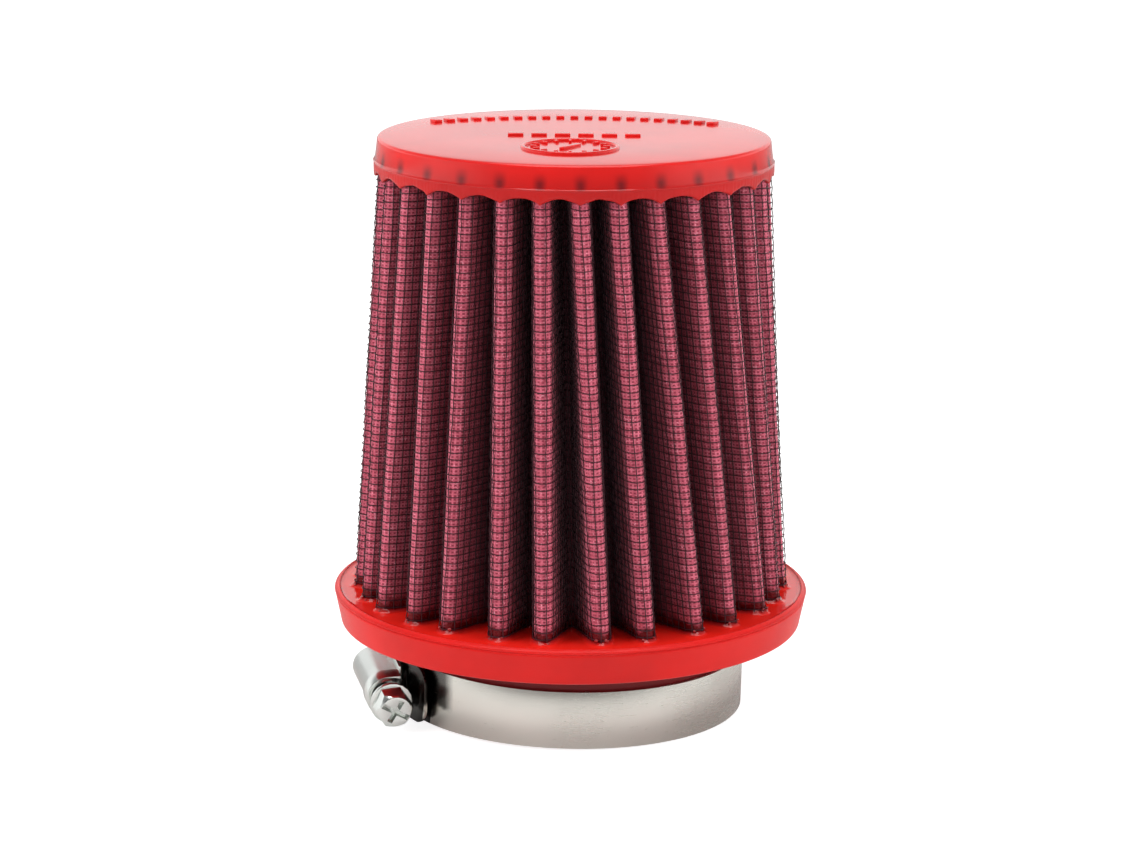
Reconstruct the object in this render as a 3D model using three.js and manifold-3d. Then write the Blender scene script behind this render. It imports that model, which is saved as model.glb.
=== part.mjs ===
// Conical pod air filter for a motorcycle carburettor, with its worm-drive hose clamp.
// Millimetres, +Z up along the filter's axis. The origin is on the axis, level with the lowest
// point of the clamp, on which the filter stands when it is set down on its open end.
import * as THREE from "three";
import { mergeVertices } from "three/addons/utils/BufferGeometryUtils.js";
import Module from "manifold-3d";

const wasm = await Module();
wasm.setup();

// Moulded ends
const NECK_END = 0.5; // height of the neck's open end
const NECK_INNER_RADIUS = 32.5;
const NECK_OUTER_RADIUS = 35.8;
const NECK_HEIGHT = 17.5;
const FLANGE_RADIUS_LOW = 48.75;
const FLANGE_RADIUS_HIGH = 50.0;
const FLANGE_THICKNESS = 7.5;
const FLANGE_EDGE = 0.6; // chamfer of the flange's upper edge
const CAP_TOP = 121.4;
const CAP_RADIUS = 40.6;
const CAP_LIP_RADIUS = 41.3;
const CAP_SIDE_HEIGHT = 5.4; // from the top down to the mould's parting line
const CAP_SKIRT_HEIGHT = 3.1; // from the parting line down to the cap's lower edge
const CAP_EDGE = 0.7; // chamfer of the cap's upper edge
const CAP_HOLLOW_RADIUS = 27.0;
const CAP_HOLLOW_DEPTH = 1.8;
const CLEAR_OF_MOULDING = 1; // how far the shapes that cut the pleats' pockets run past an end
const ROUND_STEPS = 80; // facets round the moulded ends

// Pleated pack
const PLEAT_COUNT = 30;
const FIRST_FOLD = 2; // degrees from the front to the first crest, before the lean
const CAP_UNEVENNESS = 1.5; // degrees by which the crests crowd together round the cap
const CROWDED_PLACES = 3;
const LEAN = 5; // degrees by which every crest leans between the cap and the flange
const LEAN_SWAY = 7.5; // how much more or less it leans from side to side
const PAIRING = 0.7; // degrees by which neighbouring crests lean together in pairs
const PLEAT_DEPTH = 12.4; // between the outermost and the innermost surface of the pack
const TIP_RADIUS_LOW = 45.7; // outermost surface of the pleats at the flange
const TIP_RADIUS_HIGH = 40.6; // the same at the cap's lower edge
const FOLD_HALF_WIDTH = 1.25; // of the pack's middle surface, at a fold
const FOLD_DROP = 0.75; // how far a fold's shoulders lie below its crest
const POINTS_PER_FOLD = 3;
const POINTS_PER_PLEAT = 2 * POINTS_PER_FOLD; // a crest and a valley
const PACK_HALF = 0.85; // half the thickness of the whole pack
const MESH_THICKNESS = 0.3;
const GAUZE_THICKNESS = 0.19;
const GAUZE_LAYERS = 4;
const POCKET_GAP = 0.25; // between the pack and the pockets that hold its ends
const EMBEDDED = 3.0; // length of pleat held in each moulded end

// Joint strip that closes the pleated pack into a ring
const SEAM_THICKNESS = 0.4;
const SEAM_GAP = 0.12;
const SEAM_FLANK = 0.3; // share of the pleat's flank that the strip covers
const SEAM_PLEAT = 15; // the fold it sits on, at the back
const SEAM_END_GAP = 1; // between the strip and the moulded ends

// Clamp band
const BAND_WIDTH = 12;
const BAND_THICKNESS = 0.7;
const INNER_LAYER_RADIUS = 36.4; // middle of the layer that grips the neck
const OUTER_LAYER_RADIUS = 38.0; // middle of the layer under the screw
const TILT = 0.9; // degrees by which the slack clamp leans, up on the -X side
const HOUSING_ANGLE = 195.5; // degrees from +X to the middle of the screw housing
const BAND_START = 18.0; // angles along the band are degrees on from the housing
const BAND_TIP = 360 + 24;
const RAMP_START = 312;
const RAMP_END = 342;
const FLARE_START = 360 + 12;
const FLARE = 0.5; // how far the free end stands off
const BAND_STEPS = 98;
const TIP_CORNER_RADIUS = 3.5;
const FIXED_END_FROM = -9;
const FIXED_END_TO = 5;
const SLOT_FROM = -28;
const SLOT_COUNT = 10;
const SLOT_WIDTH = 1.1;
const SLOT_LENGTH = 8;
const CUTTER_DEPTH = 3; // of the shapes that cut through the band
const PAST_EDGE = 0.5; // how far they run past its edges
const BAND_LIFT = 0.1; // height of the band's middle over the middle of the neck's last 12 mm
const CORNER_STEPS = 6;
const FIXED_END_STEPS = 4;
const SADDLE_STEPS = 6;

// Screw housing and saddle
const SHEET = 0.6;
const SADDLE_THICKNESS = 0.5;
const SADDLE_RADIUS = 37.2;
const SADDLE_HALF_ANGLE = 10.2;
const SADDLE_WIDTH = 11.4;
const AXIS_RADIUS = 41.8; // from the filter's axis to the screw's
const DROOP = 7; // degrees by which the slack clamp's screw hangs towards its head
const HOUSING_LENGTH = 14;
const DOME_RADIUS = 4.15;
const FOOT_LEVEL = -3.2; // underside of the housing's feet, from the screw's axis
const FOOT_HALF_WIDTH = 5.6;
const CHEEK_HALF_WIDTH = 6.85; // outer faces of the two cheeks that hook round the band's edges
const CHEEK_THICKNESS = 0.5;
const CHEEK_LENGTH = 4;
const CHEEK_LEVEL = -4.6;
const LIP_RADIUS = 4.55;
const LIP_LENGTH = 1.1; // of the part of the lip that overlaps the dome
const LIP_OVERHANG = 2.6; // how far the lip runs on beyond the dome's front
const DOME_STEPS = 14;

// Screw
const THREAD_PITCH = 3.0;
const WORM_RADIUS = 3.3;
const WORM_ROOT_RADIUS = 2.5;
const WORM_HALF_LENGTH = 6.0;
const THREAD_ROWS = 24; // facets along the worm
const SCREW_STEPS = 20; // facets round the screw
const THREAD_STEEPNESS = 1.6; // of the flanks, in the wave that shapes the thread
const THREAD_CREST = 0.4; // how much of that wave is cut off flat
const THREAD_RUN_OUT = 0.8; // length over which the thread ends
const SHANK_RADIUS = 2.7;
const SHOULDER_RADIUS = 3.2;
const SHOULDER_FROM = 7.6;
const STEP_LENGTH = 0.4; // of the tapers between the worm, the shank and the shoulder
const COLLAR_FROM = 12.0;
const COLLAR_RADIUS = 4.4;
const COLLAR_THICKNESS = 0.9;
const HEAD_ACROSS_FLATS = 7.0;
const HEAD_HEIGHT = 4.3;
const HEAD_CHAMFER = 0.8; // taken off the corners of the head's face
const HEAD_CONE = 2.2; // how much wider the cone that makes the chamfer is at the head's foot
const HEAD_CONE_STEPS = 24;
const HEAD_SINK = 0.1; // how far the head starts inside the collar
const RECESS_DEPTH = 2.1;
const RECESS_WIDTH = 1.15;
const RECESS_LONG = 6.2;
const RECESS_SHORT = 5.2;
const RECESS_TURN = -34; // degrees from the head's upper flat to the recess's long arm
const HEAD_TURN = 5; // degrees by which the head's upper flat is turned at rest

const FLANGE_BOTTOM = NECK_END + NECK_HEIGHT;
const FLANGE_TOP = FLANGE_BOTTOM + FLANGE_THICKNESS;
const CAP_PARTING = CAP_TOP - CAP_SIDE_HEIGHT;
const CAP_BOTTOM = CAP_PARTING - CAP_SKIRT_HEIGHT;
const PACK_BOTTOM = FLANGE_TOP - EMBEDDED;
const PACK_TOP = CAP_BOTTOM + EMBEDDED;
const BAND_MIDDLE = NECK_END + BAND_LIFT + BAND_WIDTH / 2;

function finish(color, roughness, metalness) {
  return () => new THREE.MeshStandardMaterial({ color, roughness, metalness });
}

const redRubber = finish(0xc8191a, 0.35, 0);
const gauze = finish(0x9c3450, 0.95, 0);
const blackWire = finish(0x1b1a1c, 0.5, 0.3);
const bandSteel = finish(0xc9c5bc, 0.25, 1);
const zincSteel = finish(0xc4cac6, 0.3, 1);

const radians = THREE.MathUtils.degToRad;
const lerp = THREE.MathUtils.lerp;

function named(name, geometry, material) {
  const mesh = new THREE.Mesh(geometry, material);
  mesh.name = name;
  return mesh;
}

function toSolid(geometry) {
  const bare = geometry.clone();
  bare.deleteAttribute("normal");
  bare.deleteAttribute("uv");
  const merged = mergeVertices(bare, 1e-5);
  return new wasm.Manifold(new wasm.Mesh({
    numProp: 3,
    vertProperties: new Float32Array(merged.getAttribute("position").array),
    triVerts: new Uint32Array(merged.getIndex().array),
  }));
}

function toGeometry(solid) {
  const mesh = solid.getMesh();
  const geometry = new THREE.BufferGeometry();
  geometry.setAttribute("position", new THREE.Float32BufferAttribute(mesh.vertProperties, 3));
  geometry.setIndex(Array.from(mesh.triVerts));
  return geometry;
}

// A body turned about the filter's axis from (radius, height) pairs that close on themselves.
function turned(profile) {
  const points = [...profile, profile[0]].map(([radius, height]) => new THREE.Vector2(radius, height));
  const geometry = new THREE.LatheGeometry(points, ROUND_STEPS);
  geometry.rotateX(Math.PI / 2);
  return geometry;
}

// ---- Pleats -------------------------------------------------------------------------------

// Direction of a crest, at a share of the way up from the flange to the cap. The folds are spaced a
// little unevenly round the cap, and lean as they run down to the flange.
function foldAngle(fold, share) {
  const even = FIRST_FOLD + (fold * 360) / PLEAT_COUNT;
  const atCap = even - CAP_UNEVENNESS * Math.sin(CROWDED_PLACES * radians(even));
  const paired = fold % 2 === 0 ? PAIRING : -PAIRING;
  const atFlange = even + LEAN + LEAN_SWAY * Math.sin(radians(even)) + paired;
  return radians(lerp(atFlange, atCap, share) - 90);
}

// Shoulder, crest and shoulder of one fold, in polar form about the filter's axis. A drop below
// zero makes a valley.
function foldPoints(angle, radius, drop) {
  return [[-FOLD_HALF_WIDTH, -drop], [0, 0], [FOLD_HALF_WIDTH, -drop]].map(([across, out]) => (
    new THREE.Vector2(radius + out, across).rotateAround(new THREE.Vector2(), angle)
  ));
}

// Middle surface of the pack at a height, as a closed row of points, six to each pleat.
function packOutline(height) {
  const share = (height - FLANGE_TOP) / (CAP_BOTTOM - FLANGE_TOP);
  const mitre = PACK_HALF / Math.cos(Math.atan2(FOLD_DROP, FOLD_HALF_WIDTH));
  const crest = lerp(TIP_RADIUS_LOW, TIP_RADIUS_HIGH, share) - mitre;
  const valley = crest + 2 * mitre - PLEAT_DEPTH;
  const points = [];
  for (let fold = 0; fold < PLEAT_COUNT; fold += 1) {
    const here = foldAngle(fold, share);
    const wholeTurns = fold + 1 === PLEAT_COUNT ? 2 * Math.PI : 0;
    const next = foldAngle((fold + 1) % PLEAT_COUNT, share) + wholeTurns;
    points.push(...foldPoints(here, crest, FOLD_DROP));
    points.push(...foldPoints((here + next) / 2, valley, -FOLD_DROP));
  }
  return points;
}

// Moves every point of a row sideways, outwards where the distance is positive, with mitred corners.
function offset(points, distance, closed = true) {
  const count = points.length;
  const origin = new THREE.Vector2();
  const normal = (from, to) => to.clone().sub(from).normalize().rotateAround(origin, -Math.PI / 2);
  return points.map((point, i) => {
    const before = closed || i > 0 ? normal(points[(i + count - 1) % count], point) : null;
    const after = closed || i < count - 1 ? normal(point, points[(i + 1) % count]) : null;
    const first = before ?? after;
    const second = after ?? before;
    const bisector = first.clone().add(second).normalize();
    return point.clone().addScaledVector(bisector, distance / bisector.dot(first));
  });
}

// A wall between an inner and an outer row of points, ruled from its low to its high end.
function ruledWall(low, high, lowHeight, highHeight, closed = true) {
  const count = low.outer.length;
  const rows = [
    [low.outer, lowHeight],
    [low.inner, lowHeight],
    [high.outer, highHeight],
    [high.inner, highHeight],
  ];
  const positions = rows.flatMap(([row, height]) => row.flatMap((p) => [p.x, p.y, height]));
  const [outerLow, innerLow, outerHigh, innerHigh] = [0, count, 2 * count, 3 * count];
  const faces = [];
  const quad = (a, b, c, d) => faces.push(a, b, c, a, c, d);
  for (let i = 0; i < (closed ? count : count - 1); i += 1) {
    const j = (i + 1) % count;
    quad(outerLow + i, outerLow + j, outerHigh + j, outerHigh + i);
    quad(innerLow + i, innerHigh + i, innerHigh + j, innerLow + j);
    quad(outerLow + i, innerLow + i, innerLow + j, outerLow + j);
    quad(outerHigh + i, outerHigh + j, innerHigh + j, innerHigh + i);
  }
  if (!closed) {
    const last = count - 1;
    quad(outerLow, outerHigh, innerHigh, innerLow);
    quad(outerLow + last, innerLow + last, innerHigh + last, outerHigh + last);
  }
  const geometry = new THREE.BufferGeometry();
  geometry.setAttribute("position", new THREE.Float32BufferAttribute(positions, 3));
  geometry.setIndex(faces);
  return geometry;
}

// One layer of the pack, between two distances from its middle surface.
function pleatedLayer(inner, outer, lowHeight = PACK_BOTTOM, highHeight = PACK_TOP) {
  const [low, high] = [lowHeight, highHeight].map((height) => {
    const middle = packOutline(height);
    return { inner: offset(middle, inner), outer: offset(middle, outer) };
  });
  return ruledWall(low, high, lowHeight, highHeight);
}

function packPocket(lowHeight, highHeight) {
  return toSolid(pleatedLayer(-PACK_HALF - POCKET_GAP, PACK_HALF + POCKET_GAP, lowHeight, highHeight));
}

function packLayers() {
  const gauzes = Array.from({ length: GAUZE_LAYERS }, (_, i) => (
    { name: `gauze_layer_${i + 1}`, thickness: GAUZE_THICKNESS, material: gauze() }
  ));
  const layers = [
    { name: "outer_wire_mesh", thickness: MESH_THICKNESS, material: blackWire() },
    ...gauzes,
    { name: "inner_wire_mesh", thickness: MESH_THICKNESS, material: blackWire() },
  ];
  const filled = layers.reduce((sum, layer) => sum + layer.thickness, 0);
  const gap = (2 * PACK_HALF - filled) / (layers.length - 1);
  let outer = PACK_HALF;
  return layers.map(({ name, thickness, material }) => {
    const geometry = pleatedLayer(outer - thickness, outer);
    outer -= thickness + gap;
    return named(name, geometry, material);
  });
}

// A channel pressed over one inner fold, which holds the two ends of the pleated strip together.
function seamStrip() {
  const [lowHeight, highHeight] = [FLANGE_TOP + SEAM_END_GAP, CAP_BOTTOM - SEAM_END_GAP];
  const crestShoulder = SEAM_PLEAT * POINTS_PER_PLEAT + POINTS_PER_FOLD - 1;
  const rows = [lowHeight, highHeight].map((height) => {
    const [crestSide, left, bottom, right, otherSide] = packOutline(height).slice(crestShoulder);
    const middle = [
      left.clone().lerp(crestSide, SEAM_FLANK),
      left,
      bottom,
      right,
      right.clone().lerp(otherSide, SEAM_FLANK),
    ];
    const near = -PACK_HALF - SEAM_GAP;
    return { outer: offset(middle, near, false), inner: offset(middle, near - SEAM_THICKNESS, false) };
  });
  return ruledWall(rows[0], rows[1], lowHeight, highHeight, false);
}

// ---- Moulded ends -------------------------------------------------------------------------

function baseFlange() {
  const body = turned([
    [NECK_INNER_RADIUS, NECK_END],
    [NECK_OUTER_RADIUS, NECK_END],
    [NECK_OUTER_RADIUS, FLANGE_BOTTOM],
    [FLANGE_RADIUS_LOW, FLANGE_BOTTOM],
    [FLANGE_RADIUS_HIGH, FLANGE_TOP - FLANGE_EDGE],
    [FLANGE_RADIUS_HIGH - FLANGE_EDGE, FLANGE_TOP],
    [NECK_INNER_RADIUS, FLANGE_TOP],
  ]);
  const pocket = packPocket(PACK_BOTTOM - POCKET_GAP, FLANGE_TOP + CLEAR_OF_MOULDING);
  return toGeometry(toSolid(body).subtract(pocket));
}

function endCap() {
  const body = turned([
    [0, CAP_BOTTOM + CAP_HOLLOW_DEPTH],
    [CAP_HOLLOW_RADIUS - CAP_HOLLOW_DEPTH, CAP_BOTTOM + CAP_HOLLOW_DEPTH],
    [CAP_HOLLOW_RADIUS, CAP_BOTTOM],
    [CAP_LIP_RADIUS, CAP_BOTTOM],
    [CAP_LIP_RADIUS, CAP_PARTING],
    [CAP_RADIUS, CAP_TOP - CAP_EDGE],
    [CAP_RADIUS - CAP_EDGE, CAP_TOP],
    [0, CAP_TOP],
  ]);
  const pocket = packPocket(CAP_BOTTOM - CLEAR_OF_MOULDING, PACK_TOP + POCKET_GAP);
  return toGeometry(toSolid(body).subtract(pocket));
}

// ---- Clamp --------------------------------------------------------------------------------

// Angles are degrees on from the middle of the housing, which lies on the clamp's own +X.
function bandPoint(angle, radius) {
  return new THREE.Vector2(radius * Math.cos(radians(angle)), radius * Math.sin(radians(angle)));
}

// Middle radius of the running band: the layer on the neck, the ramp and the layer under the screw.
function bandRadius(angle) {
  const ramp = THREE.MathUtils.smoothstep(angle, RAMP_START, RAMP_END);
  const flare = Math.max(0, (angle - FLARE_START) / (BAND_TIP - FLARE_START));
  return lerp(INNER_LAYER_RADIUS, OUTER_LAYER_RADIUS, ramp) + FLARE * flare * flare;
}

// A curved strip standing on edge, between two angles, with its middle at radiusAt(angle).
function curvedStrip(from, to, steps, thickness, width, radiusAt) {
  const angles = Array.from({ length: steps + 1 }, (_, i) => lerp(from, to, i / steps));
  const outer = angles.map((angle) => bandPoint(angle, radiusAt(angle) + thickness / 2));
  const inner = angles.map((angle) => bandPoint(angle, radiusAt(angle) - thickness / 2));
  return ruledWall({ outer, inner }, { outer, inner }, -width / 2, width / 2, false);
}

// Places a cutter made in the band's plane (x along the band, y up, z outwards) on the band.
function onBand(geometry, angle) {
  const along = new THREE.Matrix4().makeBasis(
    new THREE.Vector3(0, 1, 0),
    new THREE.Vector3(0, 0, 1),
    new THREE.Vector3(1, 0, 0),
  );
  geometry.applyMatrix4(along);
  geometry.translate(bandRadius(angle + 360), 0, 0);
  geometry.rotateZ(radians(angle));
  return toSolid(geometry);
}

// What is cut off a corner of the band's free end to round it.
function tipCorner(side) {
  const r = TIP_CORNER_RADIUS;
  const shape = new THREE.Shape();
  shape.moveTo(-r, -PAST_EDGE);
  shape.lineTo(PAST_EDGE, -PAST_EDGE);
  shape.lineTo(PAST_EDGE, r);
  shape.lineTo(0, r);
  shape.absarc(-r, r, r, 0, -Math.PI / 2, true);
  const geometry = new THREE.ExtrudeGeometry(shape, {
    depth: CUTTER_DEPTH,
    bevelEnabled: false,
    curveSegments: CORNER_STEPS,
  });
  geometry.translate(0, -BAND_WIDTH / 2, -CUTTER_DEPTH / 2);
  if (side > 0) {
    geometry.rotateX(Math.PI);
  }
  return onBand(geometry, BAND_TIP - 360);
}

function clampBand() {
  const strip = curvedStrip(BAND_START, BAND_TIP, BAND_STEPS, BAND_THICKNESS, BAND_WIDTH, bandRadius);
  let band = toSolid(strip);
  const slotPitch = THREE.MathUtils.radToDeg(THREAD_PITCH / OUTER_LAYER_RADIUS);
  const slant = Math.atan2(THREAD_PITCH, 2 * Math.PI * WORM_RADIUS);
  for (let i = 0; i < SLOT_COUNT; i += 1) {
    const slot = new THREE.BoxGeometry(SLOT_WIDTH, SLOT_LENGTH, CUTTER_DEPTH);
    slot.rotateZ(slant);
    band = band.subtract(onBand(slot, SLOT_FROM + i * slotPitch));
  }
  return toGeometry(band.subtract(tipCorner(-1)).subtract(tipCorner(1)));
}

// Cross-section of the screw housing: a dome over the worm on two flat feet. x is outwards from
// the filter, y is up.
function housingShape(domeRadius) {
  const inner = domeRadius - SHEET;
  const shape = new THREE.Shape();
  shape.moveTo(FOOT_LEVEL, -FOOT_HALF_WIDTH);
  shape.lineTo(FOOT_LEVEL + SHEET, -FOOT_HALF_WIDTH);
  shape.lineTo(FOOT_LEVEL + SHEET, -domeRadius);
  shape.absarc(0, 0, domeRadius, -Math.PI / 2, Math.PI / 2, false);
  shape.lineTo(FOOT_LEVEL + SHEET, domeRadius);
  shape.lineTo(FOOT_LEVEL + SHEET, FOOT_HALF_WIDTH);
  shape.lineTo(FOOT_LEVEL, FOOT_HALF_WIDTH);
  shape.lineTo(FOOT_LEVEL, inner);
  shape.absarc(0, 0, inner, Math.PI / 2, -Math.PI / 2, true);
  shape.lineTo(FOOT_LEVEL, -inner);
  return shape;
}

// The arch round the front opening of the housing.
function lipShape() {
  const shape = new THREE.Shape();
  const inner = DOME_RADIUS - SHEET;
  shape.moveTo(FOOT_LEVEL + SHEET, -LIP_RADIUS);
  shape.absarc(0, 0, LIP_RADIUS, -Math.PI / 2, Math.PI / 2, false);
  shape.lineTo(FOOT_LEVEL + SHEET, LIP_RADIUS);
  shape.lineTo(FOOT_LEVEL + SHEET, inner);
  shape.absarc(0, 0, inner, Math.PI / 2, -Math.PI / 2, true);
  shape.lineTo(FOOT_LEVEL + SHEET, -inner);
  return shape;
}

// Extrudes a cross-section along the screw, which is the housing's own +Y.
function alongScrew(shape, from, to) {
  const geometry = new THREE.ExtrudeGeometry(shape, {
    depth: to - from,
    bevelEnabled: false,
    curveSegments: DOME_STEPS,
  });
  geometry.rotateX(Math.PI / 2);
  geometry.translate(0, to, 0);
  return toSolid(geometry);
}

// A lug on the edge of a foot, bent down over the edge of the band.
function housingCheek(side) {
  const lugWidth = CHEEK_HALF_WIDTH - FOOT_HALF_WIDTH + SHEET;
  const lug = new THREE.BoxGeometry(SHEET, CHEEK_LENGTH, lugWidth);
  lug.translate(FOOT_LEVEL + SHEET / 2, 0, side * (CHEEK_HALF_WIDTH - lugWidth / 2));
  const cheekDepth = FOOT_LEVEL + SHEET - CHEEK_LEVEL;
  const cheek = new THREE.BoxGeometry(cheekDepth, CHEEK_LENGTH, CHEEK_THICKNESS);
  cheek.translate(CHEEK_LEVEL + cheekDepth / 2, 0, side * (CHEEK_HALF_WIDTH - CHEEK_THICKNESS / 2));
  return toSolid(lug).add(toSolid(cheek));
}

function clampHousing() {
  const half = HOUSING_LENGTH / 2;
  let housing = alongScrew(housingShape(DOME_RADIUS), -half, half);
  housing = housing.add(alongScrew(lipShape(), half - LIP_LENGTH, half + LIP_OVERHANG));
  for (const side of [-1, 1]) {
    housing = housing.add(housingCheek(side));
  }
  return toGeometry(housing);
}

// The screw lies along its own +Y, with its head at the +Y end.
function clampScrew() {
  const headBase = COLLAR_FROM + COLLAR_THICKNESS;
  const profile = [[0, -WORM_HALF_LENGTH]];
  for (let i = 0; i <= THREAD_ROWS; i += 1) {
    profile.push([WORM_ROOT_RADIUS, lerp(-WORM_HALF_LENGTH, WORM_HALF_LENGTH, i / THREAD_ROWS)]);
  }
  profile.push(
    [SHANK_RADIUS, WORM_HALF_LENGTH + STEP_LENGTH],
    [SHANK_RADIUS, SHOULDER_FROM],
    [SHOULDER_RADIUS, SHOULDER_FROM + STEP_LENGTH],
    [SHOULDER_RADIUS, COLLAR_FROM],
    [COLLAR_RADIUS, COLLAR_FROM],
    [COLLAR_RADIUS, headBase],
    [0, headBase],
  );
  const turnedScrew = new THREE.LatheGeometry(profile.map(([r, y]) => new THREE.Vector2(r, y)), SCREW_STEPS);
  raiseThread(turnedScrew);

  let screw = screwHead(headBase - HEAD_SINK, HEAD_HEIGHT).add(toSolid(turnedScrew));
  for (const [length, quarter] of [[RECESS_LONG, 0], [RECESS_SHORT, 90]]) {
    const arm = new THREE.BoxGeometry(length, 2 * RECESS_DEPTH, RECESS_WIDTH);
    arm.rotateY(radians(quarter + RECESS_TURN));
    arm.translate(0, headBase - HEAD_SINK + HEAD_HEIGHT, 0);
    screw = screw.subtract(toSolid(arm));
  }
  const geometry = toGeometry(screw);
  geometry.rotateY(radians(HEAD_TURN));
  return geometry;
}

// A hexagon with one flat up, and a cone that takes the corners off its face.
function screwHead(from, height) {
  const corner = HEAD_ACROSS_FLATS / Math.sqrt(3);
  const hexagon = new THREE.CylinderGeometry(corner, corner, height, 6);
  hexagon.rotateY(Math.PI / 6);
  const cone = new THREE.CylinderGeometry(
    corner - HEAD_CHAMFER,
    corner + HEAD_CONE,
    height,
    HEAD_CONE_STEPS,
  );
  return toSolid(hexagon).intersect(toSolid(cone)).translate([0, from + height / 2, 0]);
}

// Lifts the worm's skin into a right-handed screw thread of trapezium section. The two ends stay flat.
function raiseThread(geometry) {
  const position = geometry.getAttribute("position");
  for (let i = 0; i < position.count; i += 1) {
    const [x, y, z] = [position.getX(i), position.getY(i), position.getZ(i)];
    const radius = Math.hypot(x, z);
    const fromEnd = WORM_HALF_LENGTH - Math.abs(y);
    if (radius > 0 && fromEnd > 0) {
      const turn = Math.atan2(x, z) / (2 * Math.PI) + y / THREAD_PITCH;
      const wave = Math.cos(2 * Math.PI * turn) * THREAD_STEEPNESS + THREAD_CREST;
      const runOut = Math.min(fromEnd / THREAD_RUN_OUT, 1);
      const lift = THREE.MathUtils.clamp(wave, 0, 1) * runOut;
      const scale = lerp(WORM_ROOT_RADIUS, WORM_RADIUS, lift) / radius;
      position.setXYZ(i, x * scale, y, z * scale);
    }
  }
}

function clamp() {
  const tilted = new THREE.Group();
  tilted.position.z = BAND_MIDDLE;
  tilted.rotation.y = radians(TILT);
  const group = new THREE.Group();
  group.rotation.z = radians(HOUSING_ANGLE);
  tilted.add(group);
  group.add(named("clamp_band", clampBand(), bandSteel()));
  group.add(named(
    "clamp_band_fixed_end",
    curvedStrip(
      FIXED_END_FROM,
      FIXED_END_TO,
      FIXED_END_STEPS,
      BAND_THICKNESS,
      BAND_WIDTH,
      () => INNER_LAYER_RADIUS,
    ),
    bandSteel(),
  ));
  group.add(named(
    "clamp_saddle",
    curvedStrip(
      -SADDLE_HALF_ANGLE,
      SADDLE_HALF_ANGLE,
      SADDLE_STEPS,
      SADDLE_THICKNESS,
      SADDLE_WIDTH,
      () => SADDLE_RADIUS,
    ),
    bandSteel(),
  ));
  const drive = new THREE.Group();
  drive.position.set(AXIS_RADIUS, 0, 0);
  drive.rotation.x = radians(-DROOP);
  drive.add(named("clamp_housing", clampHousing(), zincSteel()));
  drive.add(named("clamp_screw", clampScrew(), zincSteel()));
  group.add(drive);
  return tilted;
}

const filter = new THREE.Group();
filter.add(named("end_cap", endCap(), redRubber()));
filter.add(named("base_flange", baseFlange(), redRubber()));
filter.add(...packLayers());
filter.add(named("media_seam_strip", seamStrip(), bandSteel()));
filter.add(clamp());

export default filter;
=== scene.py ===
"""A tapered pod air filter with a worm-drive clamp: its looks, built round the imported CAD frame.

Lengths are millimetres until mesh_from() turns them into Blender's metres, but the floor's and
the softboxes' are metres. Angles are degrees where a name or comment says so and radians elsewhere.
"""

import math

import bmesh
import bpy
import numpy as np
from mathutils import Matrix, Vector


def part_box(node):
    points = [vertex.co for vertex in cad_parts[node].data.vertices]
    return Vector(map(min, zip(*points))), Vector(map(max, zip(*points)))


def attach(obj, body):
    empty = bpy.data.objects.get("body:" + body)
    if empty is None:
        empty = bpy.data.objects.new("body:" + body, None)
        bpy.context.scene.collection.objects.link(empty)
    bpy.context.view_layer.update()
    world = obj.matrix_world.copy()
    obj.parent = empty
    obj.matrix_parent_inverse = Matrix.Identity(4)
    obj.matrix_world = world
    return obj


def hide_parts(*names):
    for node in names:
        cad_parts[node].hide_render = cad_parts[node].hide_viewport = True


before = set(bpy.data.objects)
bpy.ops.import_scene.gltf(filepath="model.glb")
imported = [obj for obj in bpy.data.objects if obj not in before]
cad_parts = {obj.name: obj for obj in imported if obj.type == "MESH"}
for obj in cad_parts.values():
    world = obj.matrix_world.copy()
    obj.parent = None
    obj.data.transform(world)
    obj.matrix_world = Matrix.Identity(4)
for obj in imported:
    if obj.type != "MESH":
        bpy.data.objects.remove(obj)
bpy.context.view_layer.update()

MM = 0.001
rng = np.random.default_rng(7)


def box(node):
    """Lowest and highest corner of a CAD node, in millimetres."""
    low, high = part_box(node)
    return np.array(low) / MM, np.array(high) / MM


# ---- Dimensions that come from the frame ---------------------------------------------------

NECK_END = box("base_flange")[0][2]
FLANGE_TOP = box("base_flange")[1][2]
FLANGE_RADIUS = box("base_flange")[1][0]
CAP_BOTTOM, CAP_TOP = box("end_cap")[0][2], box("end_cap")[1][2]
CAP_LIP_RADIUS = box("end_cap")[1][0]
PACK_LOW, PACK_HIGH = box("outer_wire_mesh")[0][2], box("outer_wire_mesh")[1][2]

# ---- Pleated pack --------------------------------------------------------------------------

PLEATS = 30
FIRST_FOLD = 2  # degrees from the front to the first crest, before the lean
CAP_UNEVENNESS = 1.5  # degrees by which the crests crowd together round the cap
CROWDED_PLACES = 3
LEAN = 5  # degrees by which every crest leans between the cap and the flange
LEAN_SWAY = 7.5  # how much more or less it leans from side to side
PAIRING = 0.7  # degrees by which neighbouring crests lean together in pairs
PLEAT_DEPTH = 12.4  # between the pack's outermost and innermost surface
TIP_RADIUS_LOW = 46.0  # outermost wires at the flange's top
TIP_RADIUS_HIGH = 40.85  # the same at the cap's lower edge
FOLD_HALF_WIDTH = 1.25
FOLD_DROP = 0.95
PACK_HALF = 0.85  # half the thickness of the whole pack
SMOOTHING = 3  # rounds of corner cutting that turn the outline's corners into folds
FOLD_REACH = 1.6  # how far from a fold's shoulder its rounding ends on the flat flank
GAUZE_LAYERS = 4
GAUZE_THICKNESS = 0.19
GAUZE_GAP = 0.068
MESH_THICKNESS = 0.3

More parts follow.
